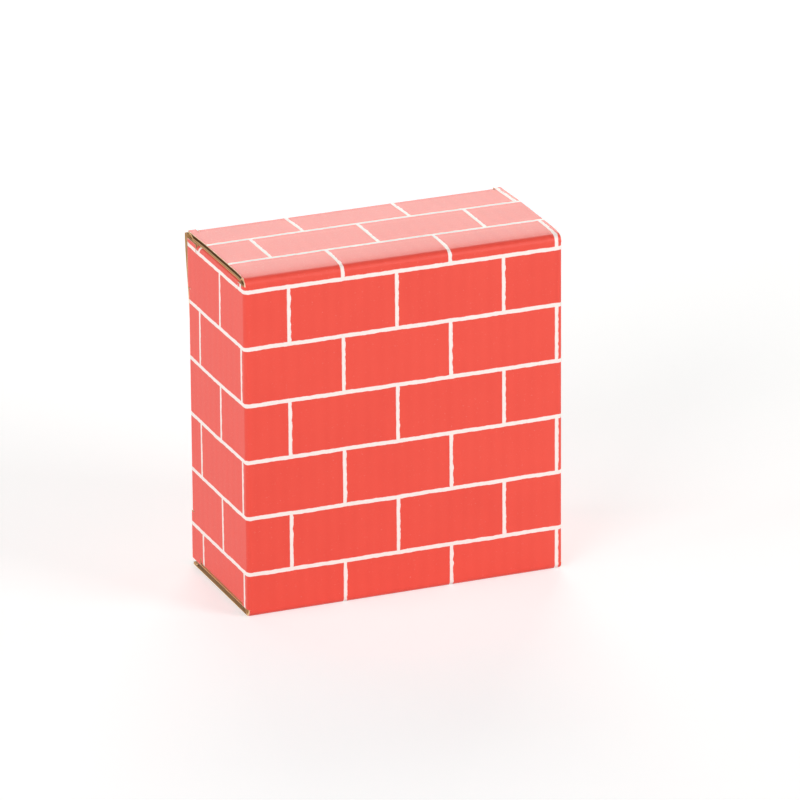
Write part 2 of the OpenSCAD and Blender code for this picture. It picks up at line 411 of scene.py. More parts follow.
@dataclass(frozen=True)
class PaperEffects:
    """The shared effects that the papers' finishes are mixed from."""

    bricks: ShaderGroup = field(default_factory=brick_print_group)
    grain: ShaderGroup = field(default_factory=paper_grain_group)
    flutes: ShaderGroup = field(default_factory=flute_show_group)
    wear: ShaderGroup = field(default_factory=edge_wear_group)


def new_material(name: str) -> tuple[bpy.types.Material, Graph, bpy.types.Node, bpy.types.NodeSocket]:
    """Starts a paper material.

    Args:
        name: The material's name.

    Returns:
        The material, its nodes, its shader and the place on the blank.
    """
    material = bpy.data.materials.new(name)
    material.use_nodes = True
    graph = Graph(material.node_tree)
    shader = material.node_tree.nodes["Principled BSDF"]
    place = graph.node("ShaderNodeUVMap", uv_map=BLANK).outputs[0]
    return material, graph, shader, place


def emboss(graph: Graph, shader: bpy.types.Node, height: bpy.types.NodeSocket, strength: float,
           depth: float) -> None:
    """Gives a paper its small relief.

    Args:
        graph: The material's nodes.
        shader: Its shader.
        height: The relief, from 0 to 1.
        strength: How strongly it shows.
        depth: The relief's depth in metres.
    """
    bump = graph.node("ShaderNodeBump", {"Strength": strength, "Distance": depth, "Height": height})
    graph.feed(shader.inputs["Normal"], bump.outputs[0])


@dataclass(frozen=True)
class BrickPrintFinish:
    """Red brickwork printed on a white-faced liner, under a thin gloss varnish.

    Lengths of the print are in millimetres and bump_depth is in metres.
    """

    course: float
    first_line: float
    first_joint: float
    brick: float
    pitch: float
    bed_line: float = 1.8
    joint: float = 1.65
    torn: float = 0.5
    tooth: float = 1.0
    cloud: float = 0.045
    worn: float = 0.3
    blotches: float = 0.45
    brick_tones: float = 0.25
    streaks: float = 0.28
    pinhole_level: Pair = (0.34, 0.28)
    pinholes: float = 0.16
    roughness: float = 0.34
    rough_tooth: float = 0.22
    rough_wear: float = 0.25
    ior: float = 1.4
    varnish: float = 0.12
    varnish_roughness: float = 0.3
    varnish_ior: float = 1.35
    line_height: float = -0.02
    bump: float = 0.45
    bump_depth: float = 0.00015
    ink: Colour = linear(243, 84, 68)
    ink_deep: Colour = linear(233, 72, 58)
    line: Colour = linear(253, 240, 234)
    bare: Colour = linear(246, 222, 208)

    def material(self, effects: PaperEffects) -> bpy.types.Material:
        """Builds the material.

        Args:
            effects: The shared effects.

        Returns:
            The material.
        """
        made, g, shader, place = new_material("brick_print")
        sizes = {"Course": self.course, "Brick": self.brick, "First Line": self.first_line,
                 "First Joint": self.first_joint, "Bed Line": self.bed_line, "Joint": self.joint,
                 "Torn": self.torn}
        bricks = effects.bricks.place(g, {"Blank": place, **sizes})
        grain = effects.grain.place(g, {"Blank": place, "Tooth": self.tooth, "Cloud": self.cloud})
        flutes = effects.flutes.place(g, {"Blank": place, "Pitch": self.pitch})
        rim = g.node("ShaderNodeAttribute", attribute_name="crush").outputs["Fac"]
        wear = effects.wear.place(g, {"Blank": place, "Nearness": rim, "Amount": self.worn})

        depth = g.weighed((grain["Blotch"], self.blotches), (bricks["Tone"], self.brick_tones),
                          (flutes["Streak"], self.streaks), clamp=True)
        ink = g.mix(depth, self.ink, self.ink_deep)
        ink = g.mix(g.ramp(grain["Height"], *self.pinhole_level, 0.0, self.pinholes), ink, self.bare)
        colour = g.mix(bricks["Mortar"], ink, self.line)
        colour = g.mix(wear["Mask"], colour, self.bare)
        g.feed(shader.inputs["Base Color"], colour)
        rough = g.weighed((grain["Height"], self.rough_tooth), (wear["Mask"], self.rough_wear))
        g.feed(shader.inputs["Roughness"], g.math("ADD", rough, self.roughness))
        shader.inputs["IOR"].default_value = self.ior
        shader.inputs["Coat Weight"].default_value = self.varnish
        shader.inputs["Coat Roughness"].default_value = self.varnish_roughness
        shader.inputs["Coat IOR"].default_value = self.varnish_ior
        height = g.math("ADD", grain["Height"], g.math("MULTIPLY", bricks["Mortar"], self.line_height))
        emboss(g, shader, height, self.bump, self.bump_depth)
        return made


@dataclass(frozen=True)
class KraftFinish:
    """Bare brown paper with its fibres, flecks and the streaks of the flutes.

    A stretch is how much finer a pattern is across and along the flutes, and bump_depth is in metres.
    """

    name: str
    light: Colour
    dark: Colour
    fleck: Colour
    pitch: float
    streaks: float = 0.0
    tooth: float = 1.3
    cloud: float = 0.09
    fibre_stretch: Pair = (2.4, 0.3)
    fibre_scale: float = 0.8
    fibres: float = 0.5
    blotches: float = 0.35
    fleck_stretch: Pair = (0.5, 1.9)
    fleck_scale: float = 0.9
    fleck_level: Pair = (0.66, 0.74)
    flecks: float = 0.5
    roughness: float = 0.72
    rough_tooth: float = 0.2
    fuzz: float = 0.1
    fuzz_roughness: float = 0.6
    fibre_height: float = 0.7
    bump: float = 0.45
    bump_depth: float = 0.00018

    def material(self, effects: PaperEffects) -> bpy.types.Material:
        """Builds the material.

        Args:
            effects: The shared effects.

        Returns:
            The material.
        """
        made, g, shader, place = new_material(self.name)
        grain = effects.grain.place(g, {"Blank": place, "Tooth": self.tooth, "Cloud": self.cloud})
        flutes = effects.flutes.place(g, {"Blank": place, "Pitch": self.pitch})
        parts = g.split(place)

        def stretched(stretch: Pair) -> bpy.types.NodeSocket:
            """Gives the place on the blank, stretched across and along the flutes."""
            return g.join(*(g.math("MULTIPLY", parts[i], stretch[i]) for i in (0, 1)), 0.0)

        fibre = g.noise(stretched(self.fibre_stretch), self.fibre_scale, detail=3.0)
        shade = g.weighed((fibre, self.fibres), (grain["Blotch"], self.blotches),
                          (flutes["Streak"], self.streaks), clamp=True)
        colour = g.mix(shade, self.light, self.dark)
        fleck = g.noise(stretched(self.fleck_stretch), self.fleck_scale)
        colour = g.mix(g.ramp(fleck, *self.fleck_level, 0.0, self.flecks), colour, self.fleck)
        g.feed(shader.inputs["Base Color"], colour)
        rough = g.math("MULTIPLY", grain["Height"], self.rough_tooth)
        g.feed(shader.inputs["Roughness"], g.math("ADD", rough, self.roughness))
        shader.inputs["Sheen Weight"].default_value = self.fuzz
        shader.inputs["Sheen Roughness"].default_value = self.fuzz_roughness
        height = g.math("ADD", grain["Height"], g.math("MULTIPLY", fibre, self.fibre_height))
        emboss(g, shader, height, self.bump, self.bump_depth)
        return made


@dataclass(frozen=True)
class DriedGlueFinish:
    """Cream glue, dried in ripples."""

    thin: Colour = linear(226, 214, 178)
    thick: Colour = linear(206, 186, 138)
    tooth: float = 0.5
    cloud: float = 0.2
    roughness: float = 0.25
    rough_tooth: float = 0.3
    bump: float = 0.5
    bump_depth: float = 0.0002

    def material(self, effects: PaperEffects) -> bpy.types.Material:
        """Builds the material.

        Args:
            effects: The shared effects.

        Returns:
            The material.
        """
        made, g, shader, place = new_material("dried_glue")
        grain = effects.grain.place(g, {"Blank": place, "Tooth": self.tooth, "Cloud": self.cloud})
        g.feed(shader.inputs["Base Color"], g.mix(grain["Blotch"], self.thin, self.thick))
        rough = g.math("MULTIPLY", grain["Height"], self.rough_tooth)
        g.feed(shader.inputs["Roughness"], g.math("ADD", rough, self.roughness))
        emboss(g, shader, grain["Height"], self.bump, self.bump_depth)
        return made


class Ply(Enum):
    """The three papers of corrugated board, with the record's node and slot endings."""

    PRINTED = "printed_liner"
    FLUTING = "fluting"
    INNER = "inner_liner"

    @property
    def lines_in_flute(self) -> int:
        """How many lines of a sheet's grid lie in the width of one flute."""
        return 12 if self is Ply.FLUTING else 8

    @property
    def line_step(self) -> float:
        """The distance between a sheet's grid lines along the flutes, in millimetres."""
        return 14.0 if self is Ply.FLUTING else 7.0


@dataclass(frozen=True)
class BoardSizes:
    """Sizes of the corrugated board and its folds.

    Attributes:
        thick: The board's thickness.
        liner: The thickness of each liner.
        medium: The thickness of the fluting's paper.
        pitch: The width of one flute.
        fold: The outer radius of a fold.
        crushed: The thickness of the board in a fold.
        score: The width of the crushed strip on each side of a bend.
        slip: The gap between boards that slide past each other.
        relief: The gap that is cut beside the ends of a fold.
        washboard: How far the flutes show as a wave in a liner.
        crest_gain: How much steeper the fluting's wave is than a sine, with its tops cut flat.
        crest_gap: The gap between the fluting and each liner.
        flute_flatten: The share of the fluting's wave that a score presses out.
        press: The width of the strip that a score bends down.
        rim: The width of the crushed strip along a cut edge.
        rim_drop: How far a liner is pressed in at a cut edge.
        ease: The distance from a fold in which a liner's wave grows to its full height.
        dent: The depth of a panel's dents as a share of its bulge.
    """

    thick: float = 3.0
    liner: float = 0.25
    medium: float = 0.25
    pitch: float = 6.4
    fold: float = 2.0
    crushed: float = 1.2
    score: float = 1.5
    slip: float = 0.3
    relief: float = 0.4
    washboard: float = 0.018
    crest_gain: float = 1.1
    crest_gap: float = 0.02
    flute_flatten: float = 0.8
    press: float = 2.6
    rim: float = 1.1
    rim_drop: float = 0.1
    ease: float = 7.0
    dent: float = 0.5

    @property
    def fold_end(self) -> float:
        """Distance from an outer face to the full board beside a fold."""
        return self.fold + self.score

    @property
    def wave_rise(self) -> float:
        """Half the height of the fluting's wave, which stays just clear of the liners."""
        return (self.thick - 2 * self.liner - self.medium) / 2 - self.crest_gap


@dataclass(frozen=True)
class BlockSizes:
    """Outer sizes of the folded block."""

    width: float = 148.0
    depth: float = 72.0
    height: float = 156.0
    courses: int = 6

    @property
    def course(self) -> float:
        """The height of a course of the brick print."""
        return self.height / self.courses

    @property
    def half_w(self) -> float:
        """Half the width."""
        return self.width / 2

    @property
    def half_d(self) -> float:
        """Half the depth."""
        return self.depth / 2


@dataclass(frozen=True)
class Edge:
    """A straight side of a panel: an axis of the flat panel, a place on it and the way inwards."""

    axis: int
    at: float
    inward: int

    def reach(self, x: np.ndarray, y: np.ndarray) -> np.ndarray:
        """Gives each point's distance from the side, inwards."""
        return ((x, y)[self.axis] - self.at) * self.inward


@dataclass(frozen=True)
class Place:
    """Where a flat panel stands: its axes and origin in the row frame, and its place on the blank.

    u and v each hold the blank's coordinate at the panel's origin and the way that it runs, 1 or -1.
    """

    x_axis: Vec3
    y_axis: Vec3
    z_axis: Vec3
    origin: Vec3
    u: Pair
    v: Pair

    def matrix(self) -> Matrix:
        """Gives the matrix from the flat panel to the row frame.

        Returns:
            The matrix, in metres.
        """
        columns = [Vector(axis) for axis in (self.x_axis, self.y_axis, self.z_axis)]
        made = Matrix.Translation(Vector(self.origin) * MM)
        for row in range(3):
            for column in range(3):
                made[row][column] = columns[column][row]
        return made

    def upside_down(self, height: float) -> "Place":
        """Gives the same place mirrored from the block's top to its base.

        Args:
            height: The block's height.

        Returns:
            The mirrored place.
        """
        flat = [(axis[0], axis[1], -axis[2]) for axis in (self.x_axis, self.y_axis, self.z_axis)]
        origin = (self.origin[0], self.origin[1], height - self.origin[2])
        return Place(*flat, origin, self.u, (height - self.v[0], -self.v[1]))


@dataclass(frozen=True)
class Panel:
    """One panel of the carton, drawn flat.

    folds and raws are its folded and cut sides, cuts are oblongs left out of it, warp moves its points
    in its plane, bulge is how far its middle swells and lift how far each point stands off its plane.
    """

    name: str
    body: str
    place: Place
    x_span: Pair
    y_span: Pair
    folds: tuple[Edge, ...]
    raws: tuple[Edge, ...]
    cuts: tuple[tuple[Pair, Pair], ...] = ()
    warp: Warp | None = None
    bulge: float = 0.0
    lift: Lift | None = None

    def lines(self, axis: int, step: float, board: BoardSizes) -> np.ndarray:
        """Gives the grid lines across one axis, closer at folds and cut edges.

        Args:
            axis: 0 for X and 1 for Y.
            step: The usual distance between lines.
            board: Sizes of the board.

        Returns:
            The sorted lines, in millimetres.
        """
        span = (self.x_span, self.y_span)[axis]
        count = max(2, round((span[1] - span[0]) / step))
        wanted = [(at, LINE_ROOM * step) for at in np.linspace(span[0], span[1], count + 1)]
        fixed = list(span) + [at for cut in self.cuts for at in cut[axis]]
        for edge in self.folds + self.raws:
            if edge.axis == axis:
                width = board.press if edge in self.folds else board.rim
                fixed += [edge.at + edge.inward * width * share for share in EDGE_LINES]
        kept = sorted({round(at, 4) for at in fixed if span[0] - NEAR <= at <= span[1] + NEAR})
        kept += [at for at, room in wanted if min(abs(at - other) for other in kept) > room]
        return np.array(sorted(kept))

    def sheet(self, ply: Ply, board: BoardSizes) -> bpy.types.Mesh:
        """Draws the panel's outline as a flat grid that one of its papers is pressed from.

        Args:
            ply: Which paper.
            board: Sizes of the board.

        Returns:
            The flat mesh, with its place on the blank and how near each point is to a fold or cut.
        """
        xs = self.lines(0, board.pitch / ply.lines_in_flute, board)
        ys = self.lines(1, ply.line_step, board)
        x, y = (part.ravel() for part in np.meshgrid(xs, ys, indexing="ij"))
        rows = len(ys)
        faces = []
        for i in range(len(xs) - 1):
            for j in range(rows - 1):
                mid = ((xs[i] + xs[i + 1]) / 2, (ys[j] + ys[j + 1]) / 2)
                inside = [all(span[0] < at < span[1] for at, span in zip(mid, cut)) for cut in self.cuts]
                if not any(inside):
                    here, next_row = i * rows + j, (i + 1) * rows + j
                    faces.append((here, next_row, next_row + 1, here + 1))
        used = np.unique(np.array(faces))
        renumbered = np.full(len(x), -1)
        renumbered[used] = np.arange(len(used))
        x, y = x[used], y[used]

        ease, press, rim = np.ones(len(x)), np.zeros(len(x)), np.zeros(len(x))
        for edge in self.folds:
            reach = edge.reach(x, y)
            ease *= smooth_step(reach / board.ease)
            press = np.maximum(press, smooth_step(1.0 - reach / board.press))
        for edge in self.raws:
            rim = np.maximum(rim, np.clip(1.0 - edge.reach(x, y) / board.rim, 0.0, 1.0) ** 2)
        share_x = np.clip((x - self.x_span[0]) / (self.x_span[1] - self.x_span[0]), 0.0, 1.0)
        share_y = np.clip((y - self.y_span[0]) / (self.y_span[1] - self.y_span[0]), 0.0, 1.0)
        # The factor of 16 makes the dome 1 at the panel's middle.
        dome = (16 * share_x * (1 - share_x) * share_y * (1 - share_y)) ** DOME_POWER
        lift = self.lift(y) * MM if self.lift else np.zeros(len(y))
        if self.warp:
            x, y = self.warp(x, y)

        mesh = bpy.data.meshes.new(f"{self.name}_{ply.value}_sheet")
        points = np.stack([x, y, np.zeros(len(x))], 1) * MM
        mesh.from_pydata(points.tolist(), [], renumbered[np.array(faces)].tolist())
        set_blank(mesh, self.place.u[0] + self.place.u[1] * x, self.place.v[0] + self.place.v[1] * y)
        if ply is Ply.FLUTING:
            ease = np.ones(len(x))
        fields = {"ease": ease, "press": press, "crush": rim, "dome": dome, "lift": lift}
        for label, values in fields.items():
            set_field(mesh, label, values)
        return mesh


def set_field(mesh: bpy.types.Mesh, name: str, values: np.ndarray) -> None:
    """Writes one number for each point of a mesh.

    Args:
        mesh: The mesh.
        name: The attribute's name.
        values: A number for each point.
    """
    made = mesh.attributes.new(name, "FLOAT", "POINT")
    made.data.foreach_set("value", values.astype(np.float32))


def set_blank(mesh: bpy.types.Mesh, u: np.ndarray, v: np.ndarray) -> None:
    """Writes the UV map of the flat cut sheet.

    Args:
        mesh: The mesh.
        u: Each point's place across the blank, in millimetres.
        v: Each point's place up the blank, in millimetres.
    """
    corners = np.zeros(len(mesh.loops), np.int32)
    mesh.loops.foreach_get("vertex_index", corners)
    layer = mesh.uv_layers.new(name=BLANK)
    layer.uv.foreach_set("vector", np.stack([u, v], 1)[corners].astype(np.float32).ravel())


def ply_tree() -> bpy.types.GeometryNodeTree:
    """Makes the tree that presses a flat sheet into one paper of the board.

    It lifts the sheet to its depth, gives it the wave of the flutes, bends it down at scores and
    cut edges, bulges and dents it, and gives it the paper's thickness.

    Returns:
        The tree.
    """
    tree = bpy.data.node_groups.new("Ply of the board", "GeometryNodeTree")
    new_socket = tree.interface.new_socket
    new_socket("Geometry", in_out="INPUT", socket_type="NodeSocketGeometry")
    new_socket("Geometry", in_out="OUTPUT", socket_type="NodeSocketGeometry")
    sizes = ("Depth", "Paper", "Pitch", "Rise", "Gain", "Flatten", "Press", "Rim Drop", "Bulge", "Dent",
             "Seed")
    for label in sizes:
        new_socket(label, in_out="INPUT", socket_type="NodeSocketFloat")
    for label in ("Face", "Reverse", "Cut"):
        new_socket(label, in_out="INPUT", socket_type="NodeSocketMaterial")
    phase, rim_flatten, dents_in_metre, weld = 1 / 16, 0.25, 26.0, 1e-6
    g = Graph(tree)
    given = g.node("NodeGroupInput").outputs
    result = g.node("NodeGroupOutput")
    place = g.split(g.node("GeometryNodeInputPosition").outputs[0])

    def mark(label: str) -> bpy.types.NodeSocket:
        """Reads one of the sheet's own numbers."""
        return g.node("GeometryNodeInputNamedAttribute", {"Name": label}, data_type="FLOAT").outputs[0]

    press, rim, dome = mark("press"), mark("crush"), mark("dome")
    shifted = g.math("ADD", g.math("DIVIDE", place[0], given["Pitch"]), phase)
    sine = g.math("MULTIPLY", g.math("SINE", g.math("MULTIPLY", shifted, 2 * math.pi)), given["Gain"])
    wave = g.math("MULTIPLY", g.math("MAXIMUM", g.math("MINIMUM", sine, 1.0), -1.0), given["Rise"])
    pressed = g.math("MAXIMUM", press, g.math("MULTIPLY", rim, rim_flatten))
    flat = g.math("MULTIPLY", pressed, given["Flatten"])
    wave = g.math("MULTIPLY", g.math("MULTIPLY", wave, mark("ease")), g.math("SUBTRACT", 1.0, flat))
    spot = g.join(place[0], place[1], given["Seed"])
    noise = g.node("ShaderNodeTexNoise", {"Vector": spot, "Scale": dents_in_metre, "Detail": 1.0}).outputs[0]
    dent = g.math("MULTIPLY", g.math("SUBTRACT", noise, 0.5), given["Dent"])
    swell = g.math("MULTIPLY", g.math("ADD", dent, given["Bulge"]), dome)
    level = g.math("SUBTRACT", given["Depth"], given["Paper"])
    bent = [g.math("MULTIPLY", press, given["Press"]), g.math("MULTIPLY", rim, given["Rim Drop"])]
    for part in (wave, swell, *bent, mark("lift")):
        level = g.math("ADD", level, part)
    moved = {"Geometry": given["Geometry"], "Position": g.join(place[0], place[1], level)}
    under = g.node("GeometryNodeSetPosition", moved).outputs[0]
    up = (0.0, 0.0, 1.0)
    thickened = {"Mesh": under, "Offset": up, "Offset Scale": given["Paper"], "Individual": False}
    raised = g.node("GeometryNodeExtrudeMesh", thickened)
    lower = g.node("GeometryNodeFlipFaces", {0: under}).outputs[0]
    both = g.node("GeometryNodeJoinGeometry")
    g.feed(both.inputs[0], lower)
    g.feed(both.inputs[0], raised.outputs["Mesh"])
    welded = {"Geometry": both.outputs[0], "Distance": weld}
    closed = g.node("GeometryNodeMergeByDistance", welded).outputs[0]
    plain = g.node("GeometryNodeRealizeInstances", {0: closed}).outputs[0]
    dressed = g.node("GeometryNodeSetMaterial", {"Geometry": plain, "Material": given["Reverse"]}).outputs[0]
    for selection, label in ((raised.outputs["Side"], "Cut"), (raised.outputs["Top"], "Face")):
        inputs = {"Geometry": dressed, "Selection": selection, "Material": given[label]}
        dressed = g.node("GeometryNodeSetMaterial", inputs).outputs[0]
    g.feed(result.inputs[0], dressed)
    return tree


def press_sheet(sheet: bpy.types.Mesh, tree: bpy.types.GeometryNodeTree,
                values: dict[str, Any]) -> bpy.types.Mesh:
    """Runs a tree on a flat sheet and keeps the result as a plain mesh.

    Args:
        sheet: The flat sheet.
        tree: The tree.
        values: The tree's inputs by name.

    Returns:
        The finished mesh.
    """
    holder = bpy.data.objects.new("flat_sheet", sheet)
    bpy.context.scene.collection.objects.link(holder)
    modifier = holder.modifiers.new("press", "NODES")
    modifier.node_group = tree
    for item in tree.interface.items_tree:
        if item.in_out == "INPUT" and item.name in values:
            modifier[item.identifier] = values[item.name]
    graph = bpy.context.evaluated_depsgraph_get()
    pressed = holder.evaluated_get(graph)
    made = bpy.data.meshes.new_from_object(pressed, preserve_all_data_layers=True, depsgraph=graph)
    holder.modifiers.remove(modifier)
    bpy.data.objects.remove(holder)
    bpy.data.meshes.remove(sheet)
    return made


@dataclass(frozen=True)
class Fold:
    """A crease: crushed board that bends round an axis from one panel to the next.

    axis is the start of the fold's axis, first and second are the ways from it to the first panel's
    face and, a quarter turn on, to the second's. at is the fold's start on the blank, and path and
    blank_run are the ways across and along the fold there. turn is the bend's angle in degrees, and
    before and after are the straight strips on its two sides. relaxed is how much wider than the
    hinge's own radius the paper bends, and spring is the angle in degrees by which the second panel
    rises from its plane where it leaves the bend.
    """

    name: str
    node: str
    bodies: tuple[str, ...]
    axis: Vec3
    run: Vec3
    length: float
    first: Vec3
    second: Vec3
    at: Pair
    path: Pair
    blank_run: Pair
    turn: float = 90.0
    before: float = 1.5
    after: float = 1.5
    cut_ends: bool = True
    relaxed: float = 0.0
    spring: float = 0.0

    def upside_down(self, name: str, node: str, height: float) -> "Fold":
        """Gives the same fold mirrored from the block's top to its base.

        Args:
            name: The mirrored fold's name.
            node: The solid that it stands for.
            height: The block's height.

        Returns:
            The mirrored fold.
        """
        run, first, second = [(way[0], way[1], -way[2]) for way in (self.run, self.first, self.second)]
        axis = (self.axis[0], self.axis[1], height - self.axis[2])
        return replace(self, name=name, node=node, axis=axis, run=run, first=first, second=second,
                       at=(self.at[0], height - self.at[1]), path=(self.path[0], -self.path[1]))

    def bend_ends(self, radius: float) -> tuple[Vector, Vector]:
        """Gives the points of the bend's face where it starts and ends, in metres.

        Args:
            radius: The hinge's outer radius.

        Returns:
            The two points.
        """
        first, second, axis = Vector(self.first), Vector(self.second), Vector(self.axis)
        turn = math.radians(self.turn)
        way = math.cos(turn) * first + math.sin(turn) * second
        onward = math.cos(turn) * second - math.sin(turn) * first
        start = axis + radius * first - self.relaxed * second
        end = axis + radius * way + self.relaxed * onward
        return start * MM, end * MM

    def run_out(self, board: BoardSizes) -> Pair:
        """Gives the strip's straight end past the bend.

        Args:
            board: Sizes of the board.

        Returns:
            Its length, and how far its end stands above the second panel's plane.
        """
        radius, rise = board.fold + self.relaxed, math.radians(self.spring)
        length = (self.after - self.relaxed + radius * math.sin(rise)) / math.cos(rise)
        return length, length * math.sin(rise) - radius * (1.0 - math.cos(rise))

    def mesh(self, board: BoardSizes, materials: Sequence[bpy.types.Material]) -> bpy.types.Mesh:
        """Builds the bent strip.

        Args:
            board: Sizes of the board.
            materials: The printed face, the inner face and the cut ends.

        Returns:
            The closed mesh, in the row frame.
        """
        first, second, run = Vector(self.first), Vector(self.second), Vector(self.run)
        turn = math.radians(self.turn - self.spring)
        radius = board.fold + self.relaxed
        before, after = self.before - self.relaxed, self.run_out(board)[0]
        bend = self.before + 2 * board.fold + self.after - before - after
        last = math.cos(turn) * first + math.sin(turn) * second
        onward = math.cos(turn) * second - math.sin(turn) * first
        hub = -self.relaxed * (first + second)
        stations = [(hub - before * second, first, 0.0), (hub - before / 2 * second, first, before / 2)]
        for i in range(BEND_STEPS + 1):
            angle = turn * i / BEND_STEPS
            way = math.cos(angle) * first + math.sin(angle) * second
            stations.append((hub, way, before + bend * i / BEND_STEPS))
        for share in (0.5, 1.0):
            stations.append((hub + after * share * onward, last, before + bend + after * share))

        count = max(2, round(self.length / FOLD_STEP))
        middle = np.linspace(END_ROOM, self.length - END_ROOM, count).tolist()
        places = [*END_LINES, *middle, *(self.length - at for at in reversed(END_LINES))]
        points, u, v, rim = [], [], [], []
        for at in places:
            edge = min(at, self.length - at)
            near = max(0.0, 1.0 - edge / board.rim) ** 2 if self.cut_ends else 0.0
            for shift, way, along in stations:
                for reach in (radius - FACE_CRUSH * near, radius - board.crushed + INSIDE_CRUSH * near):
                    spot = Vector(self.axis) + run * at + shift + way * reach
                    points.append(tuple(spot * MM))
                    u.append(self.at[0] + self.path[0] * along + self.blank_run[0] * at)
                    v.append(self.at[1] + self.path[1] * along + self.blank_run[1] * at)
                    rim.append(near)
        wide = len(stations)
        faces, slots = [], []

        def index(place: int, station: int, side: int) -> int:
            """Gives a point's number: side 0 is the face and 1 the inside."""
            return (place * wide + station) * 2 + side

        for p in range(len(places) - 1):
            for s in range(wide - 1):
                for side in (0, 1):
                    corners = ((p, s), (p, s + 1), (p + 1, s + 1), (p + 1, s))
                    faces.append([index(*corner, side) for corner in corners])
                    slots.append(side)
            for s in (0, wide - 1):
                faces.append([index(p, s, 0), index(p + 1, s, 0), index(p + 1, s, 1), index(p, s, 1)])
                slots.append(2)
        for p in (0, len(places) - 1):
            for s in range(wide - 1):
                faces.append([index(p, s, 0), index(p, s + 1, 0), index(p, s + 1, 1), index(p, s, 1)])
                slots.append(2)
        mesh = bpy.data.meshes.new(self.name)
        mesh.from_pydata(points, [], faces)
        mesh.polygons.foreach_set("material_index", slots)
        for material in materials:
            mesh.materials.append(material)
        set_blank(mesh, np.array(u), np.array(v))
        set_field(mesh, "crush", np.array(rim))
        work = bmesh.new()
        work.from_mesh(mesh)
        bmesh.ops.recalc_face_normals(work, faces=work.faces)
        work.to_mesh(mesh)
        work.free()
        return mesh


